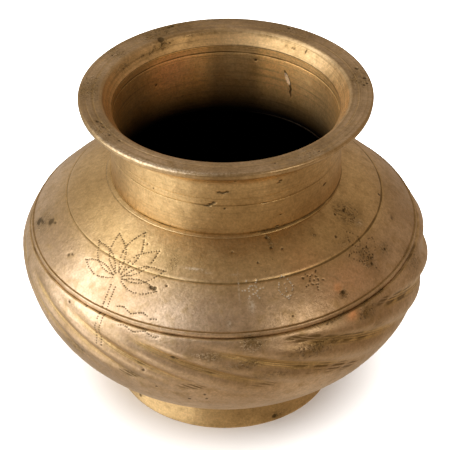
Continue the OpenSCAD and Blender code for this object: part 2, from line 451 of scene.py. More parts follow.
def normals(r, z):
    """Unit normals of profile rows, as their radial and upward parts."""
    dr, dz = np.gradient(r, axis=0), np.gradient(z, axis=0)
    size = np.maximum(np.hypot(dr, dz), 1e-6)
    return dz / size, -dr / size


SHOULDER_LINE_WIDE = 0.27
FACTS = (
    "valley", "across", "level", "line", "punch", "chalk", "pit", "stain", "scuff", "inside", "gold", "matt",
    "copper", "streak", "throat", "cut",
)


def body_part(name, levels, inner_levels, angles, ends, material, nodes, underside=None):
    """A part of the body between two levels: its outside with all its marks, and its cavity."""
    z0, angle = np.meshgrid(levels, angles, indexing="ij")
    z = askew(z0, angle)
    r = outside_r(z)
    out, up = normals(r, z)
    place = lobe_place(z, angle)
    strength = lobe_strength(z0)
    sharp = 1 - np.sin(np.pi * np.abs(place))
    valley = 0.55 * sharp + 0.45 * (0.5 + 0.5 * np.cos(2 * np.pi * place)) ** 1.3
    points = turn(r, angle, z)
    wobble = 0.16 * ripple(points, 46, 11) + 0.05 * ripple(points, 15, 12)
    wobble *= 1 - smooth((z0 - SHOULDER_TOP + 3) / 3)
    pits = sunk(points, PITS)
    dots, chalk = punched(points)
    heavy = 1 + 0.45 * np.sin(np.radians(angle))
    line = bell(z0 - SHOULDER_LINE, SHOULDER_LINE_WIDE * heavy) * (0.95 + 0.3 * ripple(points, 9, 13))
    step = bell(z0 - SHOULDER_LINE - 0.7, 0.35)
    edge = np.zeros_like(z)
    for end, width in ends:
        edge = np.maximum(edge, bell(z0 - end, width * heavy))
    edge = edge * (0.8 + 0.3 * ripple(points, 7, 14))
    slight = 1 - 0.45 * bell(off_angle(angle, -62), 34)
    bulge = 0.9 * bell(off_angle(angle, 88), 34) + 0.4 * bell(off_angle(angle, -95), 30)
    lift = wobble - LOBE_DEPTH * strength * valley * slight + bulge * bell(z0 - 50, 14)
    lift -= 0.24 * line - 0.04 * step + 0.24 * edge
    lift -= 0.17 * dots + 0.5 * pits
    r, z = r + out * lift, z + up * lift
    spacing = 2 * math.pi * r / LOBES * math.sin(math.radians(19))
    facts = {
        "valley": valley * strength,
        "streak": strength * (0.5 + 0.5 * smooth((angle + 52) / 30) * smooth((330 - angle) / 30)),
        "across": place * spacing,
        "cut": patches(angle, z, CUTS),
        "line": np.maximum(line, 0.8 * edge),
        "punch": dots,
        "chalk": chalk,
        "pit": np.clip(pits * 2, 0, 1),
        "stain": patches(angle, z0, STAINS),
        "scuff": patches(angle, z0, SCUFFS),
        "inside": np.zeros_like(z),
        "gold": smooth((z0 - 73) / 13),
        "level": z0,
        "matt": np.zeros_like(z),
        "throat": np.zeros_like(z),
        "copper": patches(angle, z0, COPPERY),
    }
    skin = [(r, z, angle)]
    inner_z, inner_angle = np.meshgrid(inner_levels, angles, indexing="ij")
    skin.append((inside_r(inner_z), askew(inner_z, inner_angle), inner_angle))
    if underside is not None:
        under = np.array(underside)
        under_r = np.repeat(under[:, :1], len(angles), 1)
        under_z = np.repeat(under[:, 1:], len(angles), 1)
        skin.insert(0, (under_r, under_z, np.repeat(angles[None], len(under), 0)))
    points = np.concatenate([turn(*(part[k] for k in (0, 2, 1))) for part in skin])
    before = len(underside) if underside is not None else 0
    for fact, values in facts.items():
        foot = np.zeros((before, len(angles)))
        # The cavity's skin is painted near black as shade
        rest = np.full((len(inner_levels), len(angles)), 1.0 if fact == "inside" else 0.0)
        facts[fact] = np.concatenate([foot, values, rest])
    return sweep(name, points, facts, material, nodes, capped=underside is not None)


# ---------------------------------------------------------------- materials

class Shader:
    """Short names for the nodes that a material is made of."""

    def __init__(self, name):
        self.material = bpy.data.materials.new(name)
        self.material.use_nodes = True
        self.tree = self.material.node_tree
        self.tree.nodes.clear()
        self.out = self.tree.nodes.new("ShaderNodeOutputMaterial")
        self.skin = self.tree.nodes.new("ShaderNodeBsdfPrincipled")
        self.join(self.skin.outputs["BSDF"], self.out.inputs["Surface"])
        self.coords = self.tree.nodes.new("ShaderNodeTexCoord").outputs["Object"]
        self.mm = self.vector("SCALE", self.coords, scale=1 / MM)
        self.height = self.parts(self.mm).outputs["Z"]

    def join(self, source, target):
        self.tree.links.new(source, target)

    def feed(self, socket, value):
        if isinstance(value, bpy.types.NodeSocket):
            self.join(value, socket)
        else:
            socket.default_value = value

    def math(self, operation, a, b=0.0, clamp=False):
        node = self.tree.nodes.new("ShaderNodeMath")
        node.operation = operation
        node.use_clamp = clamp
        self.feed(node.inputs[0], a)
        self.feed(node.inputs[1], b)
        return node.outputs[0]

    def scale(self, value, share):
        return self.math("MULTIPLY", value, share)

    def times(self, a, b):
        return self.math("MULTIPLY", a, b)

    def plus(self, a, b, clamp=False):
        return self.math("ADD", a, b, clamp)

    def most(self, a, b):
        return self.math("MAXIMUM", a, b)

    def point(self, x, y, z):
        node = self.tree.nodes.new("ShaderNodeCombineXYZ")
        for socket, value in zip(node.inputs, (x, y, z)):
            self.feed(socket, value)
        return node.outputs[0]

    def vector(self, operation, a, b=None, scale=None):
        node = self.tree.nodes.new("ShaderNodeVectorMath")
        node.operation = operation
        self.feed(node.inputs[0], a)
        if b is not None:
            self.feed(node.inputs[1], b)
        if scale is not None:
            node.inputs["Scale"].default_value = scale
        return node.outputs["Value" if operation in ("LENGTH", "DOT_PRODUCT") else "Vector"]

    def fact(self, name):
        node = self.tree.nodes.new("ShaderNodeAttribute")
        node.attribute_name = name
        return node.outputs["Fac"]

    def noise(self, where, scale, detail=3.0, rough=0.55):
        node = self.tree.nodes.new("ShaderNodeTexNoise")
        self.join(where, node.inputs["Vector"])
        node.inputs["Scale"].default_value = scale
        node.inputs["Detail"].default_value = detail
        node.inputs["Roughness"].default_value = rough
        return node.outputs["Fac"]

    def specks(self, scale, size, share):
        """Small round specks, one in a share of the cells."""
        node = self.tree.nodes.new("ShaderNodeTexVoronoi")
        self.join(self.mm, node.inputs["Vector"])
        node.inputs["Scale"].default_value = scale
        chance = self.tree.nodes.new("ShaderNodeSeparateColor")
        self.join(node.outputs["Color"], chance.inputs[0])
        reach = self.ramp(chance.outputs[0], 1 - share, 1.0)
        reach = self.plus(self.scale(reach, 0.14), -0.01)
        return self.ramp(self.math("SUBTRACT", reach, node.outputs["Distance"]), 0.0, size)

    def ramp(self, value, low, high):
        """0 below low, 1 above high, and smooth between."""
        node = self.tree.nodes.new("ShaderNodeMapRange")
        node.interpolation_type = "SMOOTHSTEP"
        self.feed(node.inputs["Value"], value)
        node.inputs["From Min"].default_value = low
        node.inputs["From Max"].default_value = high
        return node.outputs["Result"]

    def mix(self, amount, a, b, blend="MIX"):
        node = self.tree.nodes.new("ShaderNodeMix")
        node.data_type = "RGBA"
        node.blend_type = blend
        self.feed(node.inputs["Factor"], amount)
        for socket, value in ((node.inputs["A"], a), (node.inputs["B"], b)):
            colours = [s for s in node.inputs if s.name == socket.name and s.type == "RGBA"]
            self.feed(colours[0], (*value, 1) if isinstance(value, tuple) and len(value) == 3 else value)
        return [s for s in node.outputs if s.type == "RGBA"][0]

    def bump(self, height, depth_mm, normal=None):
        node = self.tree.nodes.new("ShaderNodeBump")
        node.inputs["Distance"].default_value = depth_mm * MM
        self.join(height, node.inputs["Height"])
        if normal is not None:
            self.join(normal, node.inputs["Normal"])
        return node.outputs["Normal"]

    def parts(self, point):
        node = self.tree.nodes.new("ShaderNodeSeparateXYZ")
        self.join(point, node.inputs[0])
        return node

    def lathe(self, pitch, slow=0.02):
        """Where a point lies across the lathe's rings: the same all the way round, nearly."""
        parts = self.parts(self.mm)
        flat = self.tree.nodes.new("ShaderNodeCombineXYZ")
        self.join(parts.outputs["X"], flat.inputs["X"])
        self.join(parts.outputs["Y"], flat.inputs["Y"])
        radius = self.vector("LENGTH", flat.outputs[0])
        rings = self.tree.nodes.new("ShaderNodeCombineXYZ")
        self.join(self.math("MULTIPLY", radius, 1 / pitch), rings.inputs["X"])
        self.join(self.math("MULTIPLY", parts.outputs["Z"], 1 / pitch), rings.inputs["Y"])
        self.join(self.math("MULTIPLY", parts.outputs["X"], slow), rings.inputs["Z"])
        return rings.outputs[0]


# Colours of old brass, with a near white for scuffs and painted glints, and a near black for painted shade
WORN, WORN_DEEP = (0.68, 0.50, 0.325), (0.51, 0.352, 0.205)
GOLD, GOLD_DEEP = (0.68, 0.475, 0.23), (0.54, 0.36, 0.16)
DULL, DULL_DEEP = (0.60, 0.45, 0.29), (0.40, 0.285, 0.165)
THROAT, THROAT_DEEP = (1.0, 0.66, 0.28), (0.95, 0.56, 0.19)
STREAK = (0.70, 0.48, 0.19)
COPPER = (0.92, 0.47, 0.22)
GRIME = (0.15, 0.095, 0.036)
VERDIGRIS = (0.095, 0.060, 0.024)
OLIVE = (0.26, 0.165, 0.06)
# Near white: scuffs and scratches, and painted glints and highlights
WHITE_SCUFF_AND_GLINT = (0.98, 0.93, 0.80)
# Near black: painted shade inside the pot
PAINTED_SHADE_BLACK = (0.003, 0.002, 0.0015)


def scaled(colour, share):
    return tuple(part * share for part in colour)


def brass(name, pale, deep, roughness=0.34, turned=0.2, grimy=0.4):
    """Old brass: clouds of two tones, gold where it is less worn, streaked valleys, dark lines, stains, pits,
    punched dots with dirt in them or a painted glint on them, white scuffs, painted highlights and shade, and
    lathe rings."""
    s = Shader(name)
    clouds = s.ramp(s.noise(s.mm, 0.035, 4), 0.36, 0.64)
    mottle = s.noise(s.mm, 0.24, 5, 0.62)
    grain = s.noise(s.mm, 1.2, 3, 0.65)
    rings = s.noise(s.lathe(0.9), 1.0, 3, 0.7)
    fine_rings = s.noise(s.lathe(0.35, 0.03), 1.0, 2, 0.6)
    worn = s.mix(clouds, pale, deep)
    mottle_tone = s.scale(s.ramp(mottle, 0.45, 0.80), 0.8)
    mottle_tone = s.times(mottle_tone, s.plus(s.scale(s.fact("throat"), -0.9), 1.0, True))
    gold = s.mix(clouds, GOLD, GOLD_DEEP)
    base = s.mix(s.fact("gold"), worn, gold)
    base = s.mix(s.fact("throat"), base, s.mix(clouds, THROAT, THROAT_DEEP))
    calm = s.plus(s.scale(s.fact("throat"), -0.95), 1.0, True)
    base = s.mix(mottle_tone, base, scaled(GOLD_DEEP, 0.85))
    base = s.mix(s.scale(s.ramp(rings, 0.45, 0.75), turned), base, scaled(GOLD_DEEP, 0.62))

    near = s.times(s.ramp(s.fact("valley"), 0.38, 0.80), s.fact("streak"))
    base = s.mix(s.scale(s.ramp(s.fact("valley"), 0.15, 0.85), 0.45), base, scaled(GOLD_DEEP, 0.9))
    along = s.point(s.scale(s.fact("across"), 2.6), s.scale(s.fact("level"), 0.10), 0.0)
    streaks = s.noise(along, 1.0, 3, 0.6)
    base = s.mix(s.scale(s.times(near, s.ramp(streaks, 0.42, 0.57)), 0.95), base, STREAK)
    base = s.mix(s.scale(s.times(near, s.ramp(streaks, 0.47, 0.36)), 0.72), base, scaled(GRIME, 2.0))
    hairs = s.noise(s.point(s.scale(s.fact("across"), 1.1), s.scale(s.fact("level"), 0.03), 3.0), 1.0, 1, 0.5)
    thin = s.ramp(s.math("ABSOLUTE", s.plus(hairs, -0.5)), 0.10, 0.03)
    cut = s.times(s.ramp(s.fact("cut"), 0.15, 0.6), thin)
    base = s.mix(s.scale(cut, 0.85), base, scaled(GRIME, 1.2))

    line = s.fact("line")
    base = s.mix(s.scale(s.ramp(line, 0.10, 0.45), 0.35), base, STREAK)
    core = s.times(s.ramp(line, 0.42, 0.85), s.ramp(s.noise(s.mm, 0.16, 4), 0.16, 0.38))
    blots = s.scale(s.ramp(s.noise(s.mm, 0.07, 6, 0.70), 0.56, 0.70), grimy)
    dirty = s.most(s.scale(core, 0.85), s.scale(blots, 0.5))
    base = s.mix(s.times(s.fact("copper"), s.ramp(mottle, 0.20, 0.48)), base, COPPER)
    base = s.mix(dirty, base, scaled(GRIME, 1.3))

    soft = s.plus(s.scale(s.ramp(s.noise(s.mm, 0.20, 5, 0.65), 0.30, 0.55), 0.7), 0.3)
    dotted = s.ramp(s.noise(s.mm, 0.95, 4, 0.75), 0.50, 0.62)
    stain = s.fact("stain")
    base = s.mix(s.scale(s.times(stain, soft), 0.85), base, OLIVE)
    stain = s.times(s.ramp(stain, 0.10, 0.75), dotted)
    base = s.mix(s.scale(stain, 0.62), base, VERDIGRIS)

    black = s.most(s.specks(0.16, 0.030, 0.14), s.scale(s.specks(0.42, 0.05, 0.28), 0.45))
    black = s.most(black, s.scale(s.specks(0.9, 0.06, 0.3), 0.25))
    marks = s.ramp(s.most(s.fact("punch"), s.fact("pit")), 0.14, 0.55)
    # Dots with a painted glint are not darkened
    marks = s.times(marks, s.plus(s.scale(s.fact("chalk"), -1.2), 1.0, True))
    black = s.times(black, s.plus(s.scale(s.fact("throat"), -0.8), 0.85, True))
    black = s.most(black, s.scale(marks, 0.80))
    base = s.mix(black, base, scaled(GRIME, 0.5))
    # Near white on scuffs and the gouge's scratch, as painted glints on some dots, and as a painted highlight
    # on the rim's lip
    white = s.most(s.ramp(s.fact("chalk"), 0.15, 0.55), s.times(s.fact("scuff"), s.ramp(grain, 0.35, 0.6)))
    base = s.mix(s.scale(white, 0.62), base, WHITE_SCUFF_AND_GLINT)
    base = s.mix(1.0, base, s.plus(s.scale(grain, 0.80), 0.60), "MULTIPLY")
    blend = s.plus(s.scale(s.noise(s.mm, 0.55, 4, 0.7), 0.60), 0.70)
    base = s.mix(1.0, base, s.point(blend, blend, s.plus(s.scale(blend, 1.3), -0.3)), "MULTIPLY")
    # Painted shade: the inside of the pot turns near black
    base = s.mix(s.fact("inside"), base, PAINTED_SHADE_BLACK)
    s.join(base, s.skin.inputs["Base Color"])
    s.skin.inputs["Metallic"].default_value = 1.0

    rough = s.plus(s.scale(s.times(s.ramp(mottle, 0.3, 0.75), calm), 0.12), roughness)
    rough = s.plus(rough, s.scale(s.most(s.most(dirty, stain), black), 0.2))
    rough = s.plus(rough, s.scale(s.fact("throat"), 0.27))
    rough = s.plus(rough, s.scale(s.fact("matt"), 0.3), clamp=True)
    s.join(rough, s.skin.inputs["Roughness"])
    normal = s.bump(s.times(rings, calm), 0.05 * turned + 0.008)
    normal = s.bump(s.times(fine_rings, calm), 0.02 * turned + 0.003, normal)
    hair_rings = s.noise(s.point(0.0, 0.0, s.scale(s.height, 4.5)), 1.0, 0, 0.5)
    normal = s.bump(s.times(hair_rings, s.fact("throat")), 0.10, normal)
    normal = s.bump(s.times(mottle, calm), 0.15, normal)
    normal = s.bump(s.times(near, streaks), 0.25, normal)
    normal = s.bump(s.scale(cut, -1.0), 0.12, normal)
    normal = s.bump(s.times(grain, calm), 0.06, normal)
    normal = s.bump(stain, 0.10, normal)
    s.join(normal, s.skin.inputs["Normal"])
    return s.material


SHOULDER = brass("shoulder_brass", WORN, WORN_DEEP, 0.33, 0.12, 0.35)
BOWL = brass("bowl_brass", WORN, WORN_DEEP, 0.33, 0.08, 0.55)
NECK = brass("neck_brass", GOLD, GOLD_DEEP, 0.33, 0.45, 0.3)
RIM = brass("rim_brass", DULL, DULL_DEEP, 0.35, 0.85, 0.75)
FOOT = brass("foot_brass", GOLD, GOLD_DEEP, 0.33, 0.35, 0.35)
BRAZE = brass("braze", scaled(GRIME, 1.6), GRIME, 0.5, 0.2, 0.5)


# ---------------------------------------------------------------- pieces

def make_shoulder():
    """The upper half of the body, with its line and its punched ornament."""
    angles = spread((-60, -12, 0.26), (-12, 2, 0.6), (2, 37, 0.24), (37, 66, 0.45), (66, 300, 1.3))
    levels = np.append(spread((BELT_HIGH, SHOULDER_TOP, 0.155)), SHOULDER_TOP)
    inner = np.linspace(SHOULDER_TOP, BELT_HIGH, 14)
    ends = ((BELT_HIGH, 0.22),)
    return body_part("shoulder", levels, inner, angles, ends, SHOULDER,
                     ["shoulder_shell"])


def make_bowl():
    """The lobed lower half of the body, with the floor of the cavity."""
    angles = spread((-50, -16, 0.28), (-16, 80, 0.6), (80, 310, 1.1))
    levels = spread((FOOT_H, 36, 0.9), (36, 54, 0.45), (54, BELT_LOW, 0.24))
    levels = np.append(levels, BELT_LOW)
    inner = np.linspace(BELT_LOW, FLOOR_Z + 0.3, 38)
    seat = float(outside_r(np.array(FOOT_H))) - 3.2
    underside = [(0.5, HOLLOW_Z), (12, HOLLOW_Z), (22, HOLLOW_Z), (seat - 5.6, HOLLOW_Z),
                 (seat - 4.4, HOLLOW_Z + 0.3), (seat - 0.3, FOOT_H - 0.3), (seat + 0.1, FOOT_H)]
    return body_part("bowl", levels, inner, angles, ((BELT_LOW, 0.30),), BOWL,
                     ["lower_bowl"], underside)


def fresh(shape):
    """All the facts of a skin, at nothing."""
    return {fact: np.zeros(shape) for fact in FACTS}


def make_belt():
    """The raised band between the two cut lines: low, round and uneven."""
    angles = spread((0, 360, 0.6))
    round_ = np.radians(np.linspace(-90, 90, 11))
    middle = (BELT_LOW + BELT_HIGH) / 2
    half = (BELT_HIGH - BELT_LOW) / 2
    z0, angle = np.meshgrid(middle + half * np.sin(round_), angles, indexing="ij")
    z = askew(z0, angle)
    base = outside_r(askew(np.full_like(z0, middle), angle))
    field = turn(base, angle, z)
    bulge = np.cos(round_)[:, None] ** 0.6
    r = base - 0.42 + bulge * (0.50 + 0.12 * ripple(field, 8, 21))
    inner_z, inner_angle = np.meshgrid([BELT_HIGH, BELT_LOW], angles, indexing="ij")
    inner = turn(inside_r(inner_z), inner_angle, askew(inner_z, inner_angle))
    facts = fresh((len(z0) + 2, len(angles)))
    low = np.repeat((1 - bulge) ** 1.5, len(angles), 1)
    facts["line"][:-2] = np.where(z0 < middle, low, 0.7 * low)
    facts["stain"][:-2] = patches(angle, z0, STAINS)
    # The belt's inner skin is painted near black as shade
    facts["inside"][-2:] = 1
    return sweep("belt", np.concatenate([turn(r, angle, z), inner]), facts, SHOULDER,
                 ["belt_seam"])


def run(*stops, step=0.4):
    """Points along straight stretches between stops, about a step apart."""
    points = []
    for a, b in zip(stops, stops[1:]):
        count = max(1, round(math.dist(a, b) / step))
        points += [tuple(np.array(a) + (np.array(b) - a) * i / count) for i in range(count)]
    return points


def bend(a, b, c, count):
    """Points along a curve from a to c that is drawn towards b, without its last point."""
    return [tuple(point) for point in bent_line(a, b, c, count + 1)[:-1]]


def rounded(centre, radius, start, end, count):
    """Points along an arc between two turns in degrees, without its last point."""
    turns = np.radians(np.linspace(start, end, count + 1))[:-1]
    return [(centre[0] + radius * math.cos(t), centre[1] + radius * math.sin(t)) for t in turns]


def turned_piece(name, profile, angles, material, nodes, finish, off=0.0):
    """A turned piece from a closed profile of (radius, height) that goes up the outside."""
    profile = np.array(profile)
    r = np.repeat(profile[:, :1], len(angles), 1)
    z = np.repeat(profile[:, 1:], len(angles), 1)
    angle = np.repeat(angles[None], len(profile), 0)
    facts = fresh(r.shape)
    r, z = finish(r, z, angle, facts)
    return sweep(name, turn(r, angle, z) + [off, 0, 0], facts, material, nodes)


ROPE_LOW = NECK_TOP - 2.0
ROPE_PITCH = 1.6
ROPE_SLANT = 3.6
NECK_ANGLES = spread((60, 100, 0.8), (100, 140, 0.45), (140, 150, 0.22), (150, 240, 0.6), (240, 420, 0.8))
# Nicks round the outside of the neck: angle, height, half their width and half their height
NECK_NICKS = (
    (-9.0, 101.9, 1.1, 0.35), (-7.2, 102.6, 0.9, 0.5), (-6.0, 103.4, 0.5, 0.5), (-3.4, 108.0, 0.9, 0.4),
    (-1.6, 107.7, 1.0, 0.35), (0.2, 108.1, 0.9, 0.3), (-0.6, 101.0, 0.5, 0.35), (18.6, 101.9, 1.2, 0.2),
    (26.6, 110.0, 0.9, 0.3), (25.6, 109.3, 0.7, 0.25), (27.2, 95.2, 0.6, 0.3), (25.0, 90.8, 0.7, 0.4),
    (4.6, 113.2, 1.0, 0.3), (57.0, 98.2, 1.2, 0.5), (150.0, 98.0, 0.8, 0.5), (232.0, 101.0, 1.0, 0.4),
)


def rope(angle, z, points):
    """The slanting cuts between the two lines in the mouth, clear at the back and faint in front."""
    inside = smooth((z - ROPE_LOW) / 0.4) * smooth((RIM_BASE - z) / 0.35)
    around = np.radians(angle) * NECK_IN_R
    cuts = 0.5 + 0.5 * np.sin(2 * np.pi * (around - ROPE_SLANT * (z - ROPE_LOW)) / ROPE_PITCH)
    clear = smooth((angle - 85) / 40) * smooth((245 - angle) / 20) * (1 - 0.6 * bell(angle - 180, 9))
    middle = bell(z - (ROPE_LOW + RIM_BASE) / 2, 0.22)
    return np.maximum(0.75 * cuts ** 1.5 * clear, 0.6 * middle) * inside * (0.7 + 0.4 * ripple(points, 9, 34))


RIM_LEAN = 0.62
RIM_NOD = 0.18
RIM_OFF = 0.25


def set_askew(z, angle, r=NECK_R):
    """The rim leans a little to the left and back, and the neck follows the rings on the body."""
    share = np.clip((z - NECK_TOP) / 2, 0, 1)
    a = np.radians(angle)
    lean = np.radians(RIM_LEAN) * np.sin(a) + np.radians(RIM_NOD) * (1 + np.cos(a))
    return askew(z, angle) + share * lean * r


def mouth_shade(angle, z):
    """Shade painted inside the neck: dark at the back and at both sides, as seen from the front."""
    gap = smooth((angle - 157) / 10) * smooth((194 - angle) / 10)
    left = smooth((angle - 212) / 24)
    right = smooth((136 - angle) / 22)
    band = 0.08 * smooth((z - ROPE_LOW) / 0.4)
    return np.maximum(np.maximum(0.42 * gap, 0.5 * left), np.maximum(0.35 * right, band))


def neck_wall(z):
    """The neck's inside widens smoothly towards the throat."""
    return NECK_IN_R + (THROAT_R - NECK_IN_R) * np.clip((z - NECK_TOP + 12) / 12, 0, 1) ** 2


# Nicks inside the neck: angle, height, half their width in degrees, half their height, depth
INNER_NICKS = ((164.2, 112.1, 0.8, 0.45, 1.0), (220.5, 106.3, 0.8, 0.6, 0.7))
# The gouge inside the neck: its middle, its slant in degrees a millimetre, and half its width and height
GOUGE_ANGLE = 145.54
GOUGE_Z = 107.4
GOUGE_SLANT = 0.62
GOUGE_W = 1.1
GOUGE_H = 2.2
# The dark line beside the gouge: its middle, and half its width and height
DARK_LINE_ANGLE = 143.3
DARK_LINE_Z = 102.6
DARK_LINE_W = 0.65
DARK_LINE_H = 2.6
NECK_WAIST = 0.3
NECK_FLARE_H = 5.6
# Painted shade inside the neck: it starts at this height and deepens to near black over this many millimetres
# below it
SHADE_TOP = 106.0
SHADE_FADE = 17


def gouge(angle, z):
    """The gouge inside the neck: its bright leaf, its dark outline, and the dark line beside it."""
    slant = angle - GOUGE_ANGLE - GOUGE_SLANT * (z - GOUGE_Z)
    across, up = slant / GOUGE_W, (z - GOUGE_Z) / GOUGE_H
    bright = smooth(1.5 - across ** 2 - up ** 2)
    outline = bell(np.hypot(across, up) - 1.25, 0.3) * smooth((0.9 - slant) / 1.2)
    bent = angle - DARK_LINE_ANGLE + 0.25 * np.sin(2.2 * z)
    dark = bell(bent, DARK_LINE_W) * bell(z - DARK_LINE_Z, DARK_LINE_H)
    return bright, outline, dark


def neck_nicks(points, angle, z, outer_side, inner_side):
    """The small nicks on both sides of the neck."""
    nick = np.zeros_like(z)
    for at, up, wide, high, deep in INNER_NICKS:
        nick = np.maximum(nick, deep * bell(angle - at, wide) * bell(z - up, high) * inner_side)
    for at, up, wide, high in NECK_NICKS:
        across = np.radians(off_angle(angle, at)) * NECK_R
        oval = (across / wide) ** 2 + ((z - up) / high) ** 2 + 0.5 * ripple(points, 1.6, 36)
        nick = np.maximum(nick, smooth(1.3 - oval) * outer_side)
    return nick


def make_neck():
    """The collar: two lines outside, and a roped line and some scars inside."""
    flare_low = NECK_TOP - NECK_FLARE_H
    lines_low, lines_high = NECK_BASE + NECK_LINES[0] - 0.8, NECK_BASE + NECK_LINES[1] + 0.8
    outer = run((NECK_R, NECK_BASE), (NECK_R - 0.05, NECK_BASE + 1.5), step=0.15)
    outer += run((NECK_R - 0.05, NECK_BASE + 1.5), (NECK_R - NECK_WAIST, lines_low), step=0.4)
    outer += run((NECK_R - NECK_WAIST, lines_low), (NECK_R - NECK_WAIST / 2, lines_high), step=0.14)
    outer += run((NECK_R - NECK_WAIST / 2, lines_high), (NECK_R, flare_low), step=0.3)
    outer += bend((NECK_R, flare_low), (NECK_R + 0.2, NECK_TOP - 2), (FLARE_R, NECK_TOP), 12)
    inner = run((FLARE_R, NECK_TOP), (THROAT_R, NECK_TOP), step=1.0)
    inner += [(float(neck_wall(z)), z) for z in spread(
        (NECK_TOP, ROPE_LOW + 0.5, 0.2), (ROPE_LOW + 0.5, ROPE_LOW - 0.5, 0.11),
        (ROPE_LOW - 0.5, 100, 0.34), (100, NECK_BASE, 0.7))]
    inner += run((NECK_IN_R, NECK_BASE), (NECK_R, NECK_BASE), step=1.0)

    def finish(r, z, angle, facts):
        points = turn(r, angle, z)
        outer_side = np.arange(len(r))[:, None] < len(outer)
        inner_side = ~outer_side & (r < THROAT_R + 0.05)
        wear = 0.7 + 0.4 * ripple(points, 8, 31)
        line = bell(z - NECK_BASE - NECK_LINES[0], 0.20) * wear
        line = np.maximum(line, bell(z - NECK_BASE - NECK_LINES[1], 0.16) * wear * 0.6) * outer_side
        # The line at the neck's foot, widened and darkened on the right as painted shade
        foot = bell(z - NECK_BASE, 0.35) * foot_line_and_shade(angle) * outer_side
        groove = bell(z - ROPE_LOW, 0.24) * inner_side * (0.75 + 0.35 * ripple(points, 9, 32))
        cuts = rope(angle, z, points) * inner_side
        bright, outline, dark = (mark * inner_side for mark in gouge(angle, z))
        nick = neck_nicks(points, angle, z, outer_side, inner_side)
        wobble = ripple(points, 34, 33) * (0.10 * outer_side + 0.03 * inner_side)
        wobble = wobble * smooth((z - NECK_BASE) / 2)
        side = np.where(outer_side, -1, 1)
        marks = 0.20 * line + 0.14 * foot + 0.25 * groove + 0.11 * cuts + 0.4 * bright + 0.5 * dark
        facts["line"][:] = np.clip(1.1 * line + foot + groove + 0.72 * cuts, 0, 1)
        facts["pit"][:] = np.clip(nick + dark + outline, 0, 1)
        facts["chalk"][:] = bright
        # Painted shade inside the neck: darker downwards, and darker at the back and the sides, but not on
        # the gouge's pale leaf
        deep_shade = smooth((SHADE_TOP - z) / SHADE_FADE)
        unshaded = (1 - deep_shade) * (1 - (1 - bright) * mouth_shade(angle, z))
        facts["inside"][:] = (1 - unshaded) * ~outer_side
        facts["throat"][:] = inner_side + 1.6 * bright
        facts["gold"][:] = 1
        # A faint copper tint all round the inside, and a painted orange reflection in copper at the back left
        facts["copper"][:] = (0.03 + 0.60 * bell(angle - 212.0, 14) * bell(z - 110, 9)) * inner_side
        return r + wobble + side * (marks + 0.35 * nick), set_askew(z, angle)

    return turned_piece("neck", outer + inner, NECK_ANGLES, NECK, ["neck_collar"], finish,
                        NECK_OFF)


def foot_line_and_shade(angle):
    """How dark the line at the neck's foot is: fine at the left, and broad at the right, where painted shade
    widens it.
    """
    right = smooth((angle % 360 - 5) / 15) * smooth((200 - angle % 360) / 60)
    return 0.5 + 0.3 * bell(off_angle(angle, -32), 18) + 0.5 * right


def make_rim_seam():
    """The joint between neck and rim: part of the roped band inside, a dark hairline outside."""
    outer = run((FLARE_R, NECK_TOP), (FLARE_R + 0.2, RIM_BASE), step=0.2)
    inner = run((FLARE_R + 0.2, RIM_BASE), (THROAT_R, RIM_BASE), step=1.0)
    inner += run((THROAT_R, RIM_BASE), (THROAT_R, NECK_TOP), step=0.1)
    inner += run((THROAT_R, NECK_TOP), (FLARE_R, NECK_TOP), step=1.0)

    def finish(r, z, angle, facts):
        points = turn(r, angle, z)
        inner_side = (np.arange(len(r))[:, None] >= len(outer)) & (r < THROAT_R + 0.05)
        cuts = rope(angle, z, points) * inner_side
        groove = bell(z - RIM_BASE, 0.22) * inner_side * (0.75 + 0.35 * ripple(points, 9, 35))
        facts["line"][:] = np.clip(0.72 * cuts + groove + 0.8 * ~inner_side, 0, 1)
        facts["gold"][:] = 1
        facts["throat"][:] = inner_side
        facts["inside"][:] = mouth_shade(angle, z) * inner_side
        wobble = 0.03 * ripple(points, 34, 33)
        return r + wobble + 0.11 * cuts + 0.25 * groove, set_askew(z, angle)

    return turned_piece("rim_joint", outer + inner, NECK_ANGLES, NECK, ["rim_seam"], finish,
                        NECK_OFF)


def make_neck_seam():
    """The joint at the foot of the neck: it carries the shoulder's curve up to a fine dark line, with painted
    shade over it on the right.
    """
    high, low = NECK_BASE, SHOULDER_TOP
    shares = np.array([0, 0.25, 0.5, 0.7, 0.82, 0.9, 0.96, 1.0])
    outer = [(NECK_R, low + (high - low) * share) for share in shares]
    inner = run((NECK_R - 0.1, high), (NECK_IN_R, high), (NECK_IN_R, low), (NECK_R + 0.3, low), step=0.8)

    def finish(r, z, angle, facts):
        outer_side = np.arange(len(r))[:, None] < len(outer)
        share = (z - low) / (high - low)
        points = turn(r, angle, z)
        level = askew(np.full_like(z, low), angle)
        edge = outside_r(level) - NECK_OFF * np.sin(np.radians(angle))
        line = bell(share - 0.93, 0.14) * outer_side * (0.5 + 0.5 * foot_line_and_shade(angle))
        # Painted shade: a broad dark band over the joint, mostly on the right
        broad = smooth((share - 0.1) / 0.3) * outer_side * smooth(2 * foot_line_and_shade(angle) - 1.2)
        r = np.where(outer_side, edge * (1 - share) + NECK_R * share, r)
        facts["line"][:] = np.clip(np.maximum(line, broad) * (0.9 + 0.3 * ripple(points, 6, 37)), 0, 1)
        facts["gold"][:] = 1
        # The joint's inside is painted near black as shade
        facts["inside"][:] = ~outer_side
        return r - 0.12 * line, set_askew(z, angle) + 0.06 * bell(share - 0.75, 0.12) * outer_side

    return turned_piece("neck_joint", outer + inner, NECK_ANGLES, SHOULDER, ["neck_seam"], finish,
                        NECK_OFF)


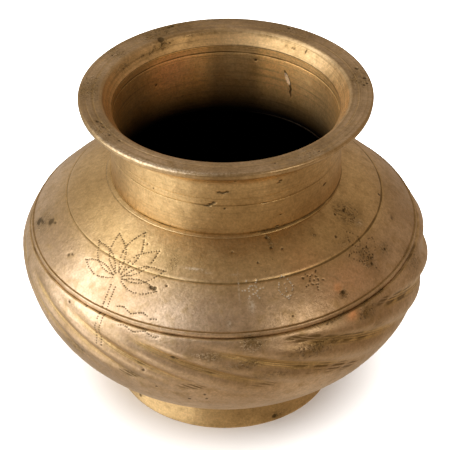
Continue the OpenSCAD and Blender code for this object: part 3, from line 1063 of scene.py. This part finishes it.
# The rim: its lines' radii, its lip's thickness and rounding, and where its underside meets the lip
RIM_LINE_R = 47.5
RIM_OUTER_LINE_R = 50.1
LIP_T = 2.6
LIP_ROUND = 0.8
UNDER_IN = 1.3
# Pits in the rim's flat top: angle, radius, size
RIM_PITS = (
    (-147.5, 44.6, 1.1), (-157, 51.0, 0.5), (-155, 50.6, 0.4), (108, 50.0, 0.6), (100, 50.8, 0.6),
    (96, 51.0, 0.4), (152, 50.6, 0.4), (-122, 49.0, 0.3), (-68, 48.5, 0.5), (-66, 47.6, 0.3),
    (-63, 48.0, 0.35), (-56, 48.6, 0.35), (-50, 47.9, 0.4), (20, 48.5, 0.3), (40, 50.0, 0.3),
)


def make_rim():
    """The rim ring: its underside, upright lip, flat top and roll down into the throat."""
    angles = spread((0, 360, 0.75))
    under = (RIM_R - UNDER_IN, RIM_TOP - LIP_T)
    outer = bend((FLARE_R + 0.2, RIM_BASE), (FLARE_R + 1.6, under[1] - 0.4), under, 10)
    outer += rounded((RIM_R - 1.0, under[1] + LIP_ROUND), LIP_ROUND, -88, 0, 7)
    outer += run((RIM_R - 0.2, under[1] + LIP_ROUND), (RIM_R, RIM_TOP - LIP_ROUND), step=0.15)
    outer += rounded((RIM_R - LIP_ROUND, RIM_TOP - LIP_ROUND), LIP_ROUND, 0, 90, 8)
    flat_from = len(outer)
    roll = THROAT_R + 2.8
    outer += run((RIM_R - LIP_ROUND, RIM_TOP), (roll + 1.7, RIM_TOP), step=0.22)
    throat_from = len(outer)
    outer += bend((roll + 1.7, RIM_TOP), (roll + 0.6, RIM_TOP - 0.05), (roll, RIM_TOP - 1.1), 10)
    outer += run((roll, RIM_TOP - 1.1), (THROAT_R, RIM_BASE), step=0.3)
    outer += run((THROAT_R, RIM_BASE), (FLARE_R + 0.2, RIM_BASE), step=1.0)

    def finish(r, z, angle, facts):
        points = turn(r, angle, z)
        row = np.arange(len(r))[:, None]
        top = (row >= flat_from) & (row < throat_from)
        wear = 0.6 + 0.5 * ripple(points, 14, 41)
        line = bell(r - RIM_LINE_R, 0.22) * top * wear
        outer_line = bell(r - RIM_OUTER_LINE_R, 0.2) * top * smooth(0.3 + ripple(points, 30, 42)) * 0.8
        line = np.maximum(line, outer_line)
        pit = np.zeros_like(r)
        for at, radius, size in RIM_PITS:
            away = np.linalg.norm(points - turn(radius, at, RIM_TOP), axis=-1)
            pit = np.maximum(pit, bell(away, size))
        shown = row < throat_from + 8
        uneven = 0.12 * ripple(points, 40, 43) + 0.05 * ripple(points, 9, 44)
        z = z + uneven * (z - RIM_BASE) / (RIM_TOP - RIM_BASE) - (0.14 * line + 0.5 * pit) * shown
        r = r + 0.18 * ripple(points, 60, 45) * (row < throat_from)
        seam = smooth((RIM_TOP - 2.3 - z) / 0.35) * (row < flat_from)
        fold = bell(z - RIM_TOP + 1.0, 0.16) * (row < flat_from)
        fold = fold * smooth((angle - 5) / 15) * smooth((150 - angle) / 30)
        fold = fold * (0.7 + 0.5 * ripple(points, 6, 46))
        r = r - 0.2 * fold
        facts["line"][:] = np.clip(line + 0.9 * seam + fold, 0, 1)
        facts["pit"][:] = np.clip(pit * 1.4, 0, 1)
        facts["gold"][:] = np.where(row < flat_from, 0.5, 0) + 0.5 * smooth((row - throat_from) / 4)
        facts["matt"][:] = 0.3 * top - 0.25 * (row < flat_from)
        # Painted highlight in near white along the lip's outer top edge at the front left
        facts["scuff"][:] = bell(row - flat_from, 4) * bell(off_angle(angle, -30), 26) * 0.9
        facts["throat"][:] = 0.3 * smooth((row - throat_from - 6) / 6)
        cone = (row >= throat_from) & (z > RIM_BASE)
        facts["stain"][:] = patches(angle, np.full_like(z, RIM_TOP), RIM_STAINS) * top
        facts["stain"][:] += patches(angle, z, THROAT_STAINS) * cone
        return r, set_askew(z, angle, r)

    return turned_piece("rim", outer, angles, RIM, ["rim_ring"], finish, RIM_OFF)


# Stains round the rim's flat top: angle, half their width in degrees, strength
RIM_STAIN_Z = 122.0
RIM_STAIN_H = 9.0
RIM_STAINS = tuple((at, RIM_STAIN_Z, wide, RIM_STAIN_H, strength) for at, wide, strength in (
    (-150.0, 14.0, 0.8), (-95.0, 12.0, 0.7), (-60.0, 10.0, 0.6), (150.0, 16.0, 0.5),
    (100.0, 10.0, 0.6), (35.0, 14.0, 0.5), (-125.0, 6.0, 0.6), (-20.0, 8.0, 0.4),
))
# Stains where the rim rolls down into the throat, given as the body's are
THROAT_STAINS = (
    (213.0, 120.3, 7.0, 1.4, 0.9), (222.0, 119.6, 9.0, 1.0, 0.7), (240.0, 120.2, 12.0, 1.5, 0.6),
    (144.0, 119.6, 1.4, 0.5, 0.7), (148.5, 119.7, 1.2, 0.5, 0.6), (136.5, 120.0, 0.5, 0.9, 0.8),
    (160.0, 121.2, 14.0, 0.5, 0.5), (190.0, 121.3, 14.0, 0.5, 0.7), (100.0, 119.6, 8.0, 1.0, 0.4),
)


FOOT_WALL = 2.8
FOOT_ROUND = 0.6
FOOT_SPREAD = 0.3
# Pits in the foot ring: angle, height, size
FOOT_PITS = ((27.0, 2.2, 0.9), (-52.0, 3.0, 0.8), (-35.0, 5.5, 0.4), (8.0, 4.0, 0.4))
FOOT_STAINS = ((30.0, 2.0, 7.0, 2.5, 0.7), (-60.0, 3.0, 8.0, 3.0, 0.5))


def make_foot():
    """The foot ring: a plain band with a rounded edge where it stands."""
    angles = spread((0, 360, 1.0))
    top_r = float(outside_r(np.array(FOOT_H)))
    outer = run((FOOT_R - FOOT_WALL + 0.5, 0), (FOOT_R - FOOT_ROUND, 0), step=0.6)
    outer += rounded((FOOT_R - FOOT_ROUND, FOOT_ROUND), FOOT_ROUND, -90, 0, 5)
    outer += run((FOOT_R, FOOT_ROUND), (top_r + FOOT_SPREAD, FOOT_SEAM_LOW), step=0.4)
    outer += run((top_r + FOOT_SPREAD, FOOT_SEAM_LOW), (top_r - FOOT_WALL, FOOT_SEAM_LOW), step=0.8)
    outer += run((top_r - FOOT_WALL, FOOT_SEAM_LOW), (FOOT_R - FOOT_WALL, 0.5), step=1.0)

    def finish(r, z, angle, facts):
        points = turn(r, angle, z)
        pit = np.zeros_like(r)
        for at, up, size in FOOT_PITS:
            pit = np.maximum(pit, bell(np.linalg.norm(points - turn(FOOT_R, at, up), axis=-1), size))
        low = smooth((z - 0.2) / 0.6)
        facts["pit"][:] = pit
        facts["line"][:] = smooth((z - FOOT_SEAM_LOW + 1.2) / 1.2) * 0.7
        facts["gold"][:] = 1
        facts["stain"][:] = patches(angle, z, FOOT_STAINS)
        return r + (0.12 * ripple(points, 30, 51) - 0.4 * pit) * low * (r > 38.5), z

    return turned_piece("foot", outer, angles, FOOT, ["foot_ring"], finish)


def dress_foot_seam():
    """The braze ring keeps its CAD shape and gets the dark braze metal."""
    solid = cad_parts["foot_seam"]
    solid.data.materials.clear()
    solid.data.materials.append(BRAZE)


# ---------------------------------------------------------------- stage

FLOOR_SIZE = 8.0
FLOOR_WHITE = (0.92, 0.92, 0.92)
SURROUND = (0.345, 0.270, 0.195)
LEFT_WALL = (0.62, 0.56, 0.48)
BACKDROP = (1.0, 1.0, 1.0)
# Paler or darker parts of the room: towards, where each starts and ends, and its colour
ROOM = (
    ((0, 0, -1), 0.10, 0.90, (0.56, 0.455, 0.34)),
    ((0.1, 1, 0.3), 0.30, 0.95, (0.44, 0.35, 0.26)),
    ((1, -0.1, 0.1), 0.40, 0.95, (0.35, 0.255, 0.17)),
    ((0, -0.8, 0.7), 0.70, 0.97, (0.235, 0.18, 0.13)),
    ((-1, 0.35, -0.25), 0.25, 0.90, LEFT_WALL),
)


def make_floor():
    """A plain white floor. The pot doesn't mirror it, so the metal keeps its own depth of tone."""
    mesh = bpy.data.meshes.new("floor")
    half = FLOOR_SIZE / 2
    corners = [(-half, -half, 0), (half, -half, 0), (half, half, 0), (-half, half, 0)]
    mesh.from_pydata(corners, [], [(0, 1, 2, 3)])
    shader = Shader("floor_paint")
    shader.skin.inputs["Base Color"].default_value = (*FLOOR_WHITE, 1)
    shader.skin.inputs["Roughness"].default_value = 0.9
    mesh.materials.append(shader.material)
    floor = bpy.data.objects.new("floor", mesh)
    bpy.context.collection.objects.link(floor)
    floor.visible_glossy = False
    floor.visible_diffuse = False
    floor.visible_shadow = False
    return floor


def area_light(name, angle, height, away, size, power, colour=(1, 1, 1)):
    """A soft box round the pot: its angle, its height above the horizon in degrees, and its distance."""
    a, e = math.radians(angle), math.radians(height)
    centre = Vector((0, 0, 0.07))
    back = Vector((math.sin(a) * math.cos(e), -math.cos(a) * math.cos(e), math.sin(e)))
    lamp = bpy.data.lights.new(name, "AREA")
    lamp.shape = "RECTANGLE"
    lamp.size, lamp.size_y = size
    lamp.energy = power
    lamp.color = colour
    holder = bpy.data.objects.new(name, lamp)
    holder.location = centre + back * away
    holder.rotation_mode = "QUATERNION"
    holder.rotation_quaternion = back.to_track_quat("Z", "Y")
    bpy.context.collection.objects.link(holder)
    return holder


def make_world():
    """A dim warm room with a paler wall on the left, in front of a white backdrop."""
    world = bpy.data.worlds.new("studio")
    world.use_nodes = True
    tree = world.node_tree
    room = tree.nodes["Background"]
    direction = tree.nodes.new("ShaderNodeTexCoord").outputs["Generated"]
    light = None
    for towards, start, end, colour in ROOM:
        aim = tree.nodes.new("ShaderNodeVectorMath")
        aim.operation = "DOT_PRODUCT"
        tree.links.new(direction, aim.inputs[0])
        aim.inputs[1].default_value = Vector(towards).normalized()
        share = tree.nodes.new("ShaderNodeMapRange")
        share.interpolation_type = "SMOOTHSTEP"
        tree.links.new(aim.outputs["Value"], share.inputs["Value"])
        share.inputs["From Min"].default_value = start
        share.inputs["From Max"].default_value = end
        blend = tree.nodes.new("ShaderNodeMix")
        blend.data_type = "RGBA"
        tree.links.new(share.outputs["Result"], blend.inputs["Factor"])
        if light is None:
            blend.inputs[6].default_value = (*SURROUND, 1)
        else:
            tree.links.new(light, blend.inputs[6])
        blend.inputs[7].default_value = (*colour, 1)
        light = blend.outputs[2]
    seen = tree.nodes.new("ShaderNodeLightPath").outputs["Is Camera Ray"]
    front = tree.nodes.new("ShaderNodeMix")
    front.data_type = "RGBA"
    tree.links.new(seen, front.inputs["Factor"])
    tree.links.new(light, front.inputs[6])
    front.inputs[7].default_value = (*BACKDROP, 1)
    tree.links.new(front.outputs[2], room.inputs["Color"])
    bpy.context.scene.world = world


def make_lights(floor):
    """A tall soft box on the left, a small one on the right, and a light for the floor alone."""
    lamps = [
        area_light("key", -70, 24, 1.0, (1.12, 1.1), 8.8, (0.95, 1.0, 1.10)),
        area_light("low_left", -66, -30, 1.0, (1.2, 0.6), 2.2, (1.0, 1.0, 1.0)),
        area_light("high_left", -112, 56, 1.0, (0.8, 0.6), 1.6, (1.0, 1.0, 1.0)),
        area_light("fill", 45, 26, 1.2, (0.30, 0.85), 1.9, (1.0, 0.95, 0.87)),
    ]
    above = area_light("floor_light", -20, 84, 3.0, (6.0, 6.0), 620)
    pot_only = bpy.data.collections.new("all_but_floor")
    pot_only.objects.link(floor)
    pot_only.collection_objects[0].light_linking.link_state = "EXCLUDE"
    for lamp in lamps:
        lamp.light_linking.receiver_collection = pot_only
    floor_only = bpy.data.collections.new("floor_only")
    floor_only.objects.link(floor)
    above.light_linking.receiver_collection = floor_only
    make_world()


CAMERA_AWAY = 0.834
CAMERA_RISE = 35.33
CAMERA_FIELD = 11.42
AIM_Z = 0.0642


def make_camera():
    e = math.radians(CAMERA_RISE)
    pivot = Vector((0, 0, 0.069))
    data = bpy.data.cameras.new("camera")
    data.sensor_width = 36
    data.lens = 18 / math.tan(math.radians(CAMERA_FIELD / 2))
    data.clip_start, data.clip_end = 0.05, 20
    camera = bpy.data.objects.new("camera", data)
    camera.location = pivot + Vector((0, -math.cos(e), math.sin(e))) * CAMERA_AWAY
    towards = Vector((0, 0, AIM_Z)) - camera.location
    camera.rotation_mode = "QUATERNION"
    camera.rotation_quaternion = towards.to_track_quat("-Z", "Y")
    bpy.context.collection.objects.link(camera)
    bpy.context.scene.camera = camera


make_shoulder()
make_bowl()
make_belt()
make_neck_seam()
make_neck()
make_rim_seam()
make_rim()
make_foot()
dress_foot_seam()
make_lights(make_floor())
make_camera()
bpy.context.scene.view_settings.view_transform = "Standard"
